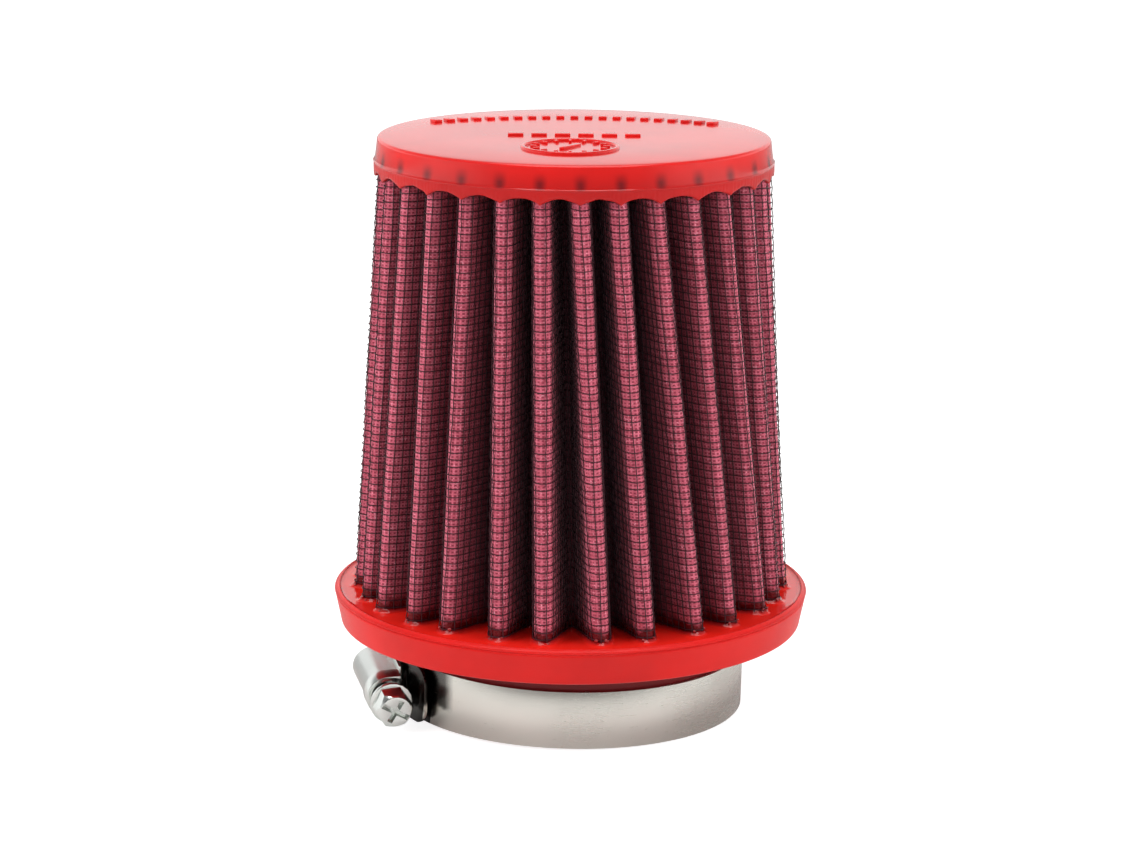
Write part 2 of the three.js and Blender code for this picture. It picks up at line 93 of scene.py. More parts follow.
WIRE_PITCH = 1.49
WIRE_RADIUS = 0.108
WIRE_SIDES = 5
WIRE_OUT = 0.74  # middle of the outer mesh, from the pack's middle surface
CROSSING_STEPS = 2  # samples from one crossing to the next
WIRE_STRAY = 0.09  # share of the pitch by which an upright wire stands off its place
WIRE_SWAY = 0.09  # how far an upright wire sways along the sheet, and a hoop up and down


def fold_angles(share):
    """Directions of the crests, at a share of the way up from the flange to the cap."""
    fold = np.arange(PLEATS)
    even = FIRST_FOLD + fold * 360 / PLEATS
    at_cap = even - CAP_UNEVENNESS * np.sin(np.radians(CROWDED_PLACES * even))
    paired = np.where(fold % 2 == 0, PAIRING, -PAIRING)
    at_flange = even + LEAN + LEAN_SWAY * np.sin(np.radians(even)) + paired
    return np.radians(at_flange + (at_cap - at_flange) * share - 90)


def share_at(height):
    return (height - FLANGE_TOP) / (CAP_BOTTOM - FLANGE_TOP)


def cornered_outline(height):
    """The pack's middle surface at a height as a closed row of corners, six to each pleat."""
    share = share_at(height)
    inset = PACK_HALF - FOLD_DROP / 4  # rounding a fold takes off a quarter of its drop
    crest = TIP_RADIUS_LOW + (TIP_RADIUS_HIGH - TIP_RADIUS_LOW) * share - inset
    valley = crest + 2 * inset - PLEAT_DEPTH
    here = fold_angles(share)
    after = np.append(here[1:], here[0] + 2 * math.pi)
    corners = []
    for crest_angle, next_angle in zip(here, after):
        for angle, radius, drop in (
            (crest_angle, crest, FOLD_DROP),
            ((crest_angle + next_angle) / 2, valley, -FOLD_DROP),
        ):
            for across, out in ((-FOLD_HALF_WIDTH, -drop), (0, 0), (FOLD_HALF_WIDTH, -drop)):
                x, y = radius + out, across
                corners.append((
                    x * math.cos(angle) - y * math.sin(angle),
                    x * math.sin(angle) + y * math.cos(angle),
                ))
    return with_flank_points(np.array(corners))


def with_flank_points(corners):
    """Adds two points on each flat flank, so that only its ends are rounded."""
    points = []
    for index, corner in enumerate(corners):
        points.append(corner)
        if index % 3 == 2:
            across = corners[(index + 1) % len(corners)] - corner
            reach = across * FOLD_REACH / np.linalg.norm(across)
            points += [corner + reach, corner + across - reach]
    return np.array(points)


def smoothed(points):
    """Chaikin's corner cutting of a closed row of points."""
    for _ in range(SMOOTHING):
        after = np.roll(points, -1, axis=0)
        pairs = [0.75 * points + 0.25 * after, 0.25 * points + 0.75 * after]
        points = np.stack(pairs, axis=1).reshape(-1, 2)
    return points


def tangents(points):
    along = np.roll(points, -1, axis=0) - np.roll(points, 1, axis=0)
    return along / np.linalg.norm(along, axis=1, keepdims=True)


LOW_OUTLINE = smoothed(cornered_outline(PACK_LOW))
HIGH_OUTLINE = smoothed(cornered_outline(PACK_HIGH))
LOW_TANGENTS = tangents(LOW_OUTLINE)
HIGH_TANGENTS = tangents(HIGH_OUTLINE)
OUTLINE_POINTS = len(LOW_OUTLINE)


def blend_rows(low, high, place, share):
    """A row of the pack between its low and high end, at places counted in outline points."""
    whole = np.floor(place).astype(int)
    part = (place - whole)[..., None]
    first, second = whole % OUTLINE_POINTS, (whole + 1) % OUTLINE_POINTS
    at_low = low[first] * (1 - part) + low[second] * part
    at_high = high[first] * (1 - part) + high[second] * part
    return at_low * (1 - share[..., None]) + at_high * share[..., None]


def pack_surface(place, height, out):
    """(points, outward normals, directions along the outline) on the pack; the inputs broadcast."""
    place, height, out = np.broadcast_arrays(np.asarray(place, float), height, out)
    share = (height - PACK_LOW) / (PACK_HIGH - PACK_LOW)
    along = blend_rows(LOW_TANGENTS, HIGH_TANGENTS, place, share)
    along = along / np.linalg.norm(along, axis=-1, keepdims=True)
    outward = np.stack([along[..., 1], -along[..., 0]], axis=-1)
    flat = blend_rows(LOW_OUTLINE, HIGH_OUTLINE, place, share) + outward * out[..., None]
    level = np.zeros_like(height)[..., None]
    return (
        np.concatenate([flat, height[..., None]], axis=-1),
        np.concatenate([outward, level], axis=-1),
        np.concatenate([along, level], axis=-1),
    )


def outline_lengths():
    """Distance along the outline at mid height, at each outline point and back at the first."""
    middle = (LOW_OUTLINE + HIGH_OUTLINE) / 2
    steps = np.linalg.norm(np.roll(middle, -1, axis=0) - middle, axis=1)
    return np.append(0, np.cumsum(steps))


LENGTHS = outline_lengths()
DEVELOPED = LENGTHS[-1]


def places_at(distances):
    return np.interp(distances, LENGTHS, np.arange(OUTLINE_POINTS + 1))


# ---- Meshes --------------------------------------------------------------------------------

def mesh_from(name, points, faces):
    """A mesh from points in millimetres and arrays of equal-sided faces."""
    mesh = bpy.data.meshes.new(name)
    flat = np.concatenate([f.ravel() for f in faces]).astype(np.int32)
    sizes = np.concatenate([np.full(len(f), f.shape[1]) for f in faces])
    starts = np.append(0, np.cumsum(sizes)[:-1]).astype(np.int32)
    mesh.vertices.add(len(points))
    mesh.vertices.foreach_set("co", (np.asarray(points) * MM).astype(np.float32).ravel())
    mesh.loops.add(len(flat))
    mesh.loops.foreach_set("vertex_index", flat)
    mesh.polygons.add(len(sizes))
    mesh.polygons.foreach_set("loop_start", starts)
    mesh.update(calc_edges=True)
    return mesh


def add_piece(mesh, material, body, nodes, sharp_degrees=None):
    """Shows a mesh as a piece that rides on a body and stands for CAD nodes."""
    piece = bpy.data.objects.new(mesh.name, mesh)
    bpy.context.scene.collection.objects.link(piece)
    mesh.shade_smooth()
    if sharp_degrees is not None:
        mesh.set_sharp_from_angle(angle=math.radians(sharp_degrees))
    mesh.materials.clear()
    mesh.materials.append(material)
    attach(piece, body)
    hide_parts(*nodes)
    return piece


def grid_quads(rows, columns, join_rows=False):
    """Quads between rows of points that each run round anticlockwise and close on themselves."""
    row = np.arange(rows if join_rows else rows - 1)[:, None]
    above = (row + 1) % rows
    column = np.arange(columns)[None, :]
    beside = (column + 1) % columns
    quads = np.stack(np.broadcast_arrays(
        row * columns + column, row * columns + beside, above * columns + beside, above * columns + column,
    ), axis=-1)
    return quads.reshape(-1, 4)


def point_attribute(mesh, name, values):
    attribute = mesh.attributes.new(name, "FLOAT", "POINT")
    attribute.data.foreach_set("value", np.asarray(values, np.float32).ravel())


def turned_rows(radii, heights, angles):
    """Points of rows about the filter's axis, with radii and heights as (rows, angles) arrays."""
    radii, heights = np.broadcast_arrays(radii, heights)
    return np.stack([radii * np.cos(angles), radii * np.sin(angles), heights], axis=-1)


def smooth_noise(count, waves, amplitude):
    """A smooth random row that closes on itself."""
    angles = np.linspace(0, 2 * math.pi, count, endpoint=False)
    row = np.zeros(count)
    for wave in waves:
        row += np.cos(wave * angles + rng.uniform(0, 2 * math.pi)) * rng.uniform(0.4, 1.0)
    return amplitude * row / np.abs(row).max()


def arc(centre, radius, start_degrees, end_degrees, steps):
    """(radius, height) points along an arc in the profile plane."""
    turn = np.radians(np.linspace(start_degrees, end_degrees, steps))
    return [(centre[0] + radius * math.cos(a), centre[1] + radius * math.sin(a)) for a in turn]


# ---- Materials -----------------------------------------------------------------------------

class Shader:
    """A node material with a Principled shader, and short calls to add nodes to it."""

    def __init__(self, name, **sockets):
        self.material = bpy.data.materials.new(name)
        self.material.use_nodes = True
        self.tree = self.material.node_tree
        self.shader = self.tree.nodes["Principled BSDF"]
        for socket, value in sockets.items():
            self.shader.inputs[socket.replace("_", " ")].default_value = value

    def node(self, kind, inputs=None, **settings):
        made = self.tree.nodes.new("ShaderNode" + kind)
        for key, value in settings.items():
            setattr(made, key, value)
        for key, value in (inputs or {}).items():
            if isinstance(value, bpy.types.NodeSocket):
                self.tree.links.new(value, made.inputs[key])
            else:
                made.inputs[key].default_value = value
        return made

    def math(self, operation, first, second=0.0):
        return self.node("Math", {0: first, 1: second}, operation=operation).outputs[0]

    def place(self):
        return self.node("TexCoord").outputs["Object"]

    def noise(self, scale, detail=2.0, roughness=0.5, place=None):
        inputs = {"Vector": place or self.place(), "Scale": scale, "Detail": detail, "Roughness": roughness}
        return self.node("TexNoise", inputs).outputs["Fac"]

    def ramp(self, value, low, high, low_value=0.0, high_value=1.0):
        inputs = {0: value, 1: low, 2: high, 3: low_value, 4: high_value}
        return self.node("MapRange", inputs, clamp=True).outputs[0]

    def mix(self, share, first, second):
        """A blend of two colours; a colour mix node has them in its inputs 6 and 7."""
        return self.node("Mix", {0: share, 6: first, 7: second}, data_type="RGBA").outputs[2]

    def drive(self, socket, value):
        self.tree.links.new(value, self.shader.inputs[socket])

    def bump(self, height, distance_mm, strength=1.0):
        inputs = {"Height": height, "Distance": distance_mm * MM, "Strength": strength}
        self.drive("Normal", self.node("Bump", inputs).outputs["Normal"])

    def attribute(self, name):
        return self.node("Attribute", attribute_name=name).outputs["Fac"]


RED = (0.72, 0.013, 0.011, 1)
# A brighter copy of RED for the poured top: painted light that makes up for the shade between the pleats.
BRIGHTENED_RED = (0.98, 0.02, 0.012, 1)
# Red of resin-soaked gauze; the mouldings' shade attribute also darkens towards it, partly as painted
# shade.
SOAKED_AND_SHADE_RED = (0.125, 0.007, 0.01, 1)
DEEPER = 0.83  # brightness of the red's darker clouds


def dimmed(colour, share):
    return tuple(share * part for part in colour[:3]) + (1,)


def red_polyurethane(name, roughness, grain, shine, coat, red=RED):
    """Moulded translucent polyurethane; the mesh's shade attribute darkens it."""
    made = Shader(
        name, Base_Color=red, Roughness=roughness, IOR=1.5, Coat_Weight=coat, Coat_Roughness=0.06,
        Specular_IOR_Level=shine,
        Subsurface_Weight=0.25, Subsurface_Radius=(1.0, 0.12, 0.08), Subsurface_Scale=0.0015,
    )
    cloud = made.noise(60, 3)
    colour = made.mix(made.ramp(cloud, 0.35, 0.7), red, dimmed(red, DEEPER))
    # The shade attribute darkens towards the soaked red, partly as painted shade under the flange and at
    # the neck.
    colour = made.mix(made.attribute("shade"), colour, SOAKED_AND_SHADE_RED)
    made.drive("Base Color", colour)
    fine = made.noise(3500, 3, 0.6)
    made.drive("Roughness", made.ramp(fine, 0.3, 0.7, roughness * 0.8, roughness * 1.25))
    made.bump(fine, grain, 0.5)
    return made.material


def wire_lacquer():
    made = Shader(
        "wire_lacquer", Base_Color=(0.042, 0.012, 0.017, 1), Roughness=0.4, Metallic=0.0,
        Specular_IOR_Level=0.35, Coat_Weight=0.1, Coat_Roughness=0.2,
    )
    made.bump(made.noise(2500, 2), 0.02, 0.5)
    return made.material


GAUZE_LIGHT = (0.82, 0.185, 0.268, 1)
GAUZE_MIDDLE = (0.48, 0.07, 0.112, 1)
GAUZE_DARK = (0.12, 0.01, 0.022, 1)
GAUZE_GLINT = (0.86, 0.46, 0.54, 1)  # painted highlights: pale specks on the yarns' crowns
GAUZE_FOLD_SHADE = (0.03, 0.004, 0.008, 1)  # painted shade, deep in the folds
YARN_PITCH = 0.72
SOAKED_HEIGHT = 2.4  # to which the flange's resin has climbed in the gauze


def oiled_gauze(name, lit_share):
    """Cotton gauze with yarns along the sheet's own UV map, in millimetres, oiled red; a share under 1
    darkens it as painted shade.
    """
    made = Shader(
        name, Roughness=0.75, IOR=1.45,
        Sheen_Weight=0.35, Sheen_Roughness=0.5, Sheen_Tint=(1.0, 0.62, 0.7, 1),
    )
    axes = made.node("SeparateXYZ", {0: made.node("UVMap", uv_map="weave").outputs[0]}).outputs
    wander = made.ramp(made.noise(500, 2), 0.2, 0.8, -0.12, 0.12)
    yarns = []
    for axis in (0, 1):
        turn = made.math("MULTIPLY", made.math("ADD", axes[axis], wander), math.pi / YARN_PITCH)
        yarns.append(made.math("ABSOLUTE", made.math("SINE", turn)))
    height = made.math("MAXIMUM", yarns[0], yarns[1])
    hole = made.ramp(height, 0.3, 0.85, 1.0, 0.0)
    fuzz = made.noise(4000, 4, 0.7)
    patch = made.noise(260, 3)
    wetness = made.ramp(made.noise(700, 2), 0.35, 0.65, 0.15, 1.0)
    crown = made.math("MULTIPLY", made.ramp(height, 0.7, 0.98), made.ramp(patch, 0.3, 0.65, 0.5, 1.05))
    colour = made.mix(made.math("MULTIPLY", crown, wetness), GAUZE_MIDDLE, GAUZE_LIGHT)
    # Painted highlights: sparse pale specks on the yarns' crowns.
    glints = made.ramp(made.noise(2600, 2), 0.6, 0.68, 0.0, 0.75)
    colour = made.mix(made.math("MULTIPLY", glints, crown), colour, GAUZE_GLINT)
    colour = made.mix(made.ramp(fuzz, 0.45, 0.75, 0.0, 0.5), colour, GAUZE_MIDDLE)
    colour = made.mix(made.math("MULTIPLY", hole, 0.65), colour, GAUZE_DARK)
    # Painted shade for the sheets inside the pack.
    if lit_share < 1:
        colour = made.mix(1 - lit_share, colour, GAUZE_DARK)
    # Painted shade: the deeper a point lies in the folds, the darker the gauze.
    colour = made.mix(made.ramp(made.attribute("depth"), 0.08, 0.75, 0.0, 0.88), colour, GAUZE_FOLD_SHADE)
    ragged = made.ramp(made.noise(420, 3), 0.3, 0.7, -0.9, 0.9)
    above = made.math("ADD", made.math("SUBTRACT", axes[1], SOAKED_HEIGHT), ragged)
    soaked = made.ramp(above, -0.7, 0.8, 1.0, 0.0)
    made.drive("Base Color", made.mix(soaked, colour, SOAKED_AND_SHADE_RED))
    made.drive("Roughness", made.ramp(soaked, 0, 1, 0.78, 0.25))
    made.drive("Sheen Weight", made.ramp(soaked, 0, 1, 0.35, 0.0))
    made.drive("Specular IOR Level", made.ramp(soaked, 0, 1, 0.5, 0.2))
    made.bump(made.math("ADD", height, made.math("MULTIPLY", fuzz, 0.35)), 0.09, 0.9)
    return made.material


TARNISH = 0.86  # brightness of the steel's darker clouds
# Colour of the painted reflection on the band beside the housing.
PAINTED_REFLECTION_COLOUR = (0.02, 0.015, 0.015, 1)
HOUSING_DEGREES = 195.5
PATCH_FROM = 7.0  # degrees on from the housing
TAIL_END = 22.5  # the band's free end, also degrees on from the housing
PATCH_TO = 33.0
PATCH_ABOVE = 5.6  # height of its lower edge, past the band's free end
PATCH_SOFTNESS = 1.0  # degrees over which it fades at its ends


def reflection_beside_housing(made):
    """A painted reflection: the dark patch on the band beside the screw housing, where a polished band
    mirrors dark things.
    """
    x, y, z = made.node("SeparateXYZ", {0: made.place()}).outputs
    turn = made.math("ARCTAN2", y, x)
    ragged = made.ramp(made.noise(420, 3), 0.3, 0.7, -0.5, 0.5)
    level = made.math("ADD", made.math("DIVIDE", z, MM), ragged)
    marks = (HOUSING_DEGREES + turned - 360 for turned in (PATCH_FROM, TAIL_END, PATCH_TO))
    start, tail, end = (math.radians(mark) for mark in marks)
    soft = math.radians(PATCH_SOFTNESS)
    lower_edge = made.ramp(turn, tail, tail + soft, 0.0, PATCH_ABOVE)
    upper = made.ramp(made.math("SUBTRACT", level, lower_edge), -0.6, 0.6)
    begun = made.ramp(turn, start - soft, start + soft)
    ended = made.ramp(turn, end - 3 * soft, end + soft, 1.0, 0.0)
    fade = made.ramp(turn, tail, end, 1.0, 0.82)
    return made.math("MULTIPLY", made.math("MULTIPLY", upper, fade), made.math("MULTIPLY", begun, ended))


def steel(name, colour, roughness, streak, patch=0.0):
    """Polished or plated steel with rolling streaks and, on the band, the painted reflection beside the
    housing.
    """
    made = Shader(name, Base_Color=colour, Metallic=1.0, Roughness=roughness)
    squeezed = made.node("Mapping", {"Vector": made.place(), "Scale": (1, 1, 14)}).outputs[0]
    lines = made.noise(220, 3, 0.6, squeezed)
    cloud = made.noise(45, 3)
    clean = made.mix(made.ramp(cloud, 0.3, 0.75), colour, dimmed(colour, TARNISH))
    # Painted reflection: the band darkens to a dark mirrored patch beside the housing.
    made.drive("Base Color", made.mix(made.math("MULTIPLY", reflection_beside_housing(made), patch), clean, PAINTED_REFLECTION_COLOUR))
    rough = made.ramp(made.math("ADD", made.math("MULTIPLY", lines, streak), cloud), 0.3, 0.7 + streak)
    made.drive("Roughness", made.ramp(rough, 0, 1, roughness * 0.75, roughness * 1.4))
    return made.material


CAP_RED = red_polyurethane("cap_polyurethane", 0.16, 0.003, 0.46, 0.2)
FLANGE_RED = red_polyurethane("flange_polyurethane", 0.34, 0.012, 0.26, 0.0)
# The poured top takes the brightened red as painted light.
POURED_RED = red_polyurethane("poured_polyurethane", 0.1, 0.001, 0.4, 0.1, BRIGHTENED_RED)
BEAD_RED = red_polyurethane("resin_bead", 0.05, 0.0005, 0.7, 1.0)
WIRE = wire_lacquer()
GAUZE_FRONT = oiled_gauze("oiled_gauze", 1.0)
# The inner sheets are the same gauze, darkened as painted shade.
GAUZE_BEHIND_SHADED = oiled_gauze("oiled_gauze_inner_shaded", 0.8)
# The band carries the painted reflection beside the housing.
BAND_STEEL = steel("stainless_band", (0.84, 0.81, 0.75, 1), 0.24, 0.9, 0.95)
ZINC_STEEL = steel("zinc_plate", (0.92, 0.955, 0.92, 1), 0.2, 0.5)


# ---- Wire mesh -----------------------------------------------------------------------------

def tubes(centres, across, up, radius, sides, closed):
    """Points and faces of tubes whose centre lines are (tube, step) rows of points."""
    turns = np.arange(sides) * 2 * math.pi / sides
    ring = across[..., None, :] * np.cos(turns)[:, None] + up[..., None, :] * np.sin(turns)[:, None]
    points = centres[..., None, :] + radius * ring
    count, steps = centres.shape[:2]
    tube = np.arange(count)[:, None, None] * steps * sides
    step = np.arange(steps if closed else steps - 1)[None, :, None]
    following = (step + 1) % steps
    side = np.arange(sides)[None, None, :]
    beside = (side + 1) % sides
    quads = np.stack(np.broadcast_arrays(
        tube + step * sides + side, tube + step * sides + beside,
        tube + following * sides + beside, tube + following * sides + side,
    ), axis=-1).reshape(-1, 4)
    faces = [quads]
    if not closed:
        start = (np.arange(count) * steps * sides)[:, None]
        end = start + (steps - 1) * sides
        faces.append(start + np.arange(sides)[::-1])
        faces.append(end + np.arange(sides))
    return points.reshape(-1, 3), faces


def woven_mesh(name, node, out, radius, sides, steps, groups):
    """Upright wires and hoops that pass over and under each other, as several pieces."""
    uprights = 2 * round(DEVELOPED / WIRE_PITCH / 2)
    hoops = int((PACK_HIGH - PACK_LOW) / WIRE_PITCH)
    upright_step = DEVELOPED / uprights
    number = np.arange(uprights)
    distance = (number + rng.uniform(-WIRE_STRAY, WIRE_STRAY, uprights) + 0.5) * upright_step
    level = PACK_LOW + (np.arange(hoops) + 0.5) * (PACK_HIGH - PACK_LOW) / hoops
    made = []
    fine = np.arange((hoops - 1) * steps + 1) / steps
    heights = np.interp(fine, np.arange(hoops), level)
    heights = np.concatenate([[PACK_LOW], heights, [PACK_HIGH]])
    fine = np.concatenate([[-0.5], fine, [hoops - 0.5]])
    for group in np.array_split(number, groups):
        wave = np.cos(math.pi * (fine[None, :] + group[:, None])) * radius
        sway = WIRE_SWAY * np.sin(heights[None, :] * 0.21 + group[:, None] * 1.7)
        place = places_at(distance[group][:, None] + sway)
        centres, outward, along = pack_surface(place, heights[None, :], out + wave)
        points, faces = tubes(centres, outward, along, radius, sides, closed=False)
        made.append(mesh_from(f"{name}_uprights_{len(made) + 1}", points, faces))
    fine = np.arange(uprights * steps) / steps
    around = np.interp(fine, np.arange(uprights + 1), np.append(distance, DEVELOPED + distance[0]))
    place = places_at(around % DEVELOPED)
    for index, group in enumerate(np.array_split(np.arange(hoops), groups)):
        wave = -np.cos(math.pi * (fine[None, :] + group[:, None])) * radius
        sag = WIRE_SWAY * np.sin(fine[None, :] * 0.33 + group[:, None] * 2.1)
        centres, outward, along = pack_surface(place[None, :], level[group][:, None] + sag, out + wave)
        straight_up = np.zeros_like(outward)
        straight_up[..., 2] = 1
        points, faces = tubes(centres, straight_up, outward, radius, sides, closed=True)
        made.append(mesh_from(f"{name}_hoops_{index + 1}", points, faces))
    for mesh in made:
        add_piece(mesh, WIRE, "filter", (node,))


# ---- Gauze ---------------------------------------------------------------------------------

GAUZE_COLUMNS = 1080
GAUZE_ROWS = 24


def gauze_layer(number, outer_face, material):
    """One pleated sheet of gauze, with real thickness and yarn directions in its UV map."""
    name = f"gauze_sheet_{number}"
    distances = np.arange(GAUZE_COLUMNS) * DEVELOPED / GAUZE_COLUMNS
    place = places_at(distances)
    heights = np.linspace(PACK_LOW, PACK_HIGH, GAUZE_ROWS)
    rows = []
    for out in (outer_face, outer_face - GAUZE_THICKNESS):
        rows.append(pack_surface(place[None, :], heights[:, None], out)[0])
    rows[1] = rows[1][::-1]
    points = np.concatenate(rows).reshape(-1, 3)
    quads = grid_quads(2 * GAUZE_ROWS, GAUZE_COLUMNS, join_rows=True)
    mesh = mesh_from(name, points, [quads])
    corner_row, corner_column = np.divmod(quads, GAUZE_COLUMNS)
    wrapped = (corner_column == 0) & (corner_column.max(axis=1, keepdims=True) == GAUZE_COLUMNS - 1)
    across = np.where(wrapped, DEVELOPED, distances[corner_column])
    level = np.concatenate([heights, heights[::-1]])[corner_row] - FLANGE_TOP
    from_axis = np.hypot(points[:, 0], points[:, 1]).reshape(-1, GAUZE_COLUMNS)
    outermost = from_axis.max(axis=1, keepdims=True)
    point_attribute(mesh, "depth", (outermost - from_axis) / PLEAT_DEPTH)
    layer = mesh.uv_layers.new(name="weave")
    layer.data.foreach_set("uv", np.stack([across, level], axis=-1).astype(np.float32).ravel())
    piece = add_piece(mesh, material, "filter", (f"gauze_layer_{number}",))


# ---- Moulded ends --------------------------------------------------------------------------

ROUND_COLUMNS = 1080
ANGLES = np.arange(ROUND_COLUMNS) * 2 * math.pi / ROUND_COLUMNS


def pleat_phase(share):
    """How far each direction lies from one crest (0) to the next (1), at a share of the height."""
    crests = fold_angles(share)
    crests = np.append(crests, crests[0] + 2 * math.pi)
    turned = (ANGLES - crests[0]) % (2 * math.pi) + crests[0]
    return np.interp(turned, crests, np.arange(PLEATS + 1)) % 1


CAP_SIDE = 5.4  # from the top down to the parting line
PARTING = CAP_TOP - CAP_SIDE
PARTING_STEP = 0.12  # by which the side steps in over the parting line
CAP_DRAFT = 0.7  # how much narrower the top is than the skirt
CAP_RADIUS = CAP_LIP_RADIUS - CAP_DRAFT
CAP_EDGE_RADIUS = 0.7
CAP_FALL = 0.55  # by which the top's rim lies lower than its middle
CAP_FLAT_RADIUS = 26.0
CAP_SINK = 0.02  # how far the top's middle lies under the CAD's
FLASH = 0.12  # how far the parting line's flash stands out
SCALLOP = 1.35  # how much higher the skirt ends between the pleats
CAP_HOLLOW_RADIUS = 27.0
CAP_HOLLOW_DEPTH = 1.8
SMUDGE_HALF_WIDTH = 1.45  # of a pleat's tip seen through the cap
SMUDGE_DARKNESS = 0.86
PARTING_DARKENING = 0.32  # darkness of the side just over the parting line, and of all below it
SHADE_TOP = 3.5  # how far over the parting line both have faded out
SKIRT_EDGE = (  # inset from the lip, height over the skirt's lower edge, share of the ribs
    (1.6, 0.35, 0.0),
    (0.7, 0.05, 0.0),
    (0.35, 0.0, 0.3),
    (0.12, 0.12, 0.7),
    (0.02, 0.35, 1.0),
)


def cap_rows(phase):
    """Radii and heights of the cap's rows, from its hollow round the skirt to the top's middle."""
    arch = np.sin(math.pi * phase) ** 0.75
    edge = CAP_BOTTOM + SCALLOP * arch + smooth_noise(ROUND_COLUMNS, range(40, 90, 7), 0.08)
    ribs = smooth_noise(ROUND_COLUMNS, range(210, 420, 13), 0.06)
    rows = [
        (CAP_HOLLOW_RADIUS - CAP_HOLLOW_DEPTH, CAP_BOTTOM + CAP_HOLLOW_DEPTH),
        (CAP_HOLLOW_RADIUS, CAP_BOTTOM + SCALLOP),
        (CAP_HOLLOW_RADIUS + 8, CAP_BOTTOM + SCALLOP),
    ]
    for inset, rise, ribbed in SKIRT_EDGE:
        rows.append((CAP_LIP_RADIUS - inset + ribbed * ribs, edge + rise))
    low, high = edge + 0.35, PARTING - PARTING_STEP
    for share in np.linspace(0.25, 1, 6):
        rows.append((CAP_LIP_RADIUS + ribs * (1 - share ** 3), low + (high - low) * share))
    skirt_rows = len(rows)
    flash = FLASH * (0.6 + 0.4 * smooth_noise(ROUND_COLUMNS, range(9, 60, 5), 1.0))
    rows.append((CAP_LIP_RADIUS + flash, PARTING - 0.05))
    rows.append((CAP_LIP_RADIUS + flash, PARTING + 0.04))
    rows.append((CAP_LIP_RADIUS - PARTING_STEP, PARTING + PARTING_STEP))
    low, high = PARTING + PARTING_STEP, CAP_TOP - CAP_FALL - CAP_EDGE_RADIUS
    for share in np.linspace(0.1, 1, 10):
        side = CAP_LIP_RADIUS - 0.15 + (CAP_RADIUS - CAP_LIP_RADIUS + 0.15) * share ** 0.8
        rows.append((side, low + (high - low) * share))
    rows += arc((CAP_RADIUS - CAP_EDGE_RADIUS, high), CAP_EDGE_RADIUS, 12, 84, 8)
    for radius in np.linspace(CAP_RADIUS - 1.3, 3.0, 24):
        fall = CAP_FALL * np.clip((radius - CAP_FLAT_RADIUS) / (CAP_RADIUS - CAP_FLAT_RADIUS), 0, 1) ** 2
        rows.append((radius, CAP_TOP - CAP_SINK - fall))
    radii = np.stack([np.broadcast_to(radius, ROUND_COLUMNS) for radius, _ in rows])
    heights = np.stack([np.broadcast_to(level, ROUND_COLUMNS) for _, level in rows])
    return radii, heights, skirt_rows


def cap_shade(heights, phase):
    """How dark the pleats' tips show through the cap's side, and how much darker it is made towards the
    parting line and below it.
    """
    from_tip = np.minimum(phase, 1 - phase) * 2 * math.pi * CAP_RADIUS / PLEATS
    smudge = np.exp(-(from_tip / SMUDGE_HALF_WIDTH) ** 2)
    above = heights - PARTING
    band = np.clip((above + 3.2) / 1.0, 0, 1) * np.clip((SHADE_TOP - above) / 2.2, 0, 1)
    strength = 0.25 + 0.75 * np.clip((above + 0.2) / 0.4, 0, 1)
    towards_parting = np.where(above > 0, np.clip(1 - above / SHADE_TOP, 0, 1), 1) * (above < SHADE_TOP)
    return np.maximum(SMUDGE_DARKNESS * smudge * band * strength, PARTING_DARKENING * towards_parting)


def other_material(mesh, material, rows):
    """Gives a range of a round moulding's rows of faces a second material."""
    mesh.materials.append(material)
    row = np.arange(len(mesh.polygons)) // ROUND_COLUMNS
    chosen = (row >= rows.start) & (row < rows.stop)
    mesh.polygons.foreach_set("material_index", chosen.astype(np.int32))


def end_cap():
    phase = pleat_phase(1.0)
    radii, heights, skirt_rows = cap_rows(phase)
    points = turned_rows(radii, heights, ANGLES).reshape(-1, 3)
    under, over = len(points), len(points) + 1
    middles = [[0, 0, CAP_BOTTOM + CAP_HOLLOW_DEPTH], [0, 0, CAP_TOP - CAP_SINK]]
    column = np.arange(ROUND_COLUMNS)
    beside = (column + 1) % ROUND_COLUMNS
    last = (len(radii) - 1) * ROUND_COLUMNS
    fans = [
        np.stack([beside, column, np.full(ROUND_COLUMNS, under)], axis=-1),
        np.stack([last + column, last + beside, np.full(ROUND_COLUMNS, over)], axis=-1),
    ]
    quads = grid_quads(len(radii), ROUND_COLUMNS)
    mesh = mesh_from("end_cap_moulding", np.concatenate([points, middles]), [quads, *fans])
    point_attribute(mesh, "shade", np.append(cap_shade(heights, phase), [0, 0]))
    add_piece(mesh, CAP_RED, "filter", ("end_cap",))
    other_material(mesh, FLANGE_RED, range(skirt_rows))


NECK_INNER_RADIUS = 32.5
NECK_OUTER_RADIUS = 35.8
FLANGE_THICKNESS = 7.5
UNDERSIDE = FLANGE_TOP - FLANGE_THICKNESS
FLANGE_DRAFT = 1.25
LOW_RADIUS = FLANGE_RADIUS - FLANGE_DRAFT
RIM_DROP = 0.75  # how far the side ends under the flange's top
SIDE_TOP = FLANGE_TOP - RIM_DROP
POUR_LEVEL = 0.3  # how far the poured top lies under the flange's edge
POOL = FLANGE_TOP - POUR_LEVEL
MENISCUS_HEIGHT = 0.8
MENISCUS_WIDTH = 0.22
NECK_INNER_EDGE = 0.8  # radii of the rounded edges
NECK_OUTER_EDGE = 0.6
NECK_FILLET = 1.0
LOWER_EDGE = 0.7
UNDERSIDE_SHADE = 0.3
CORNER_SHADE = 0.9  # where the neck meets the underside
MENISCUS_SHADE = 0.9


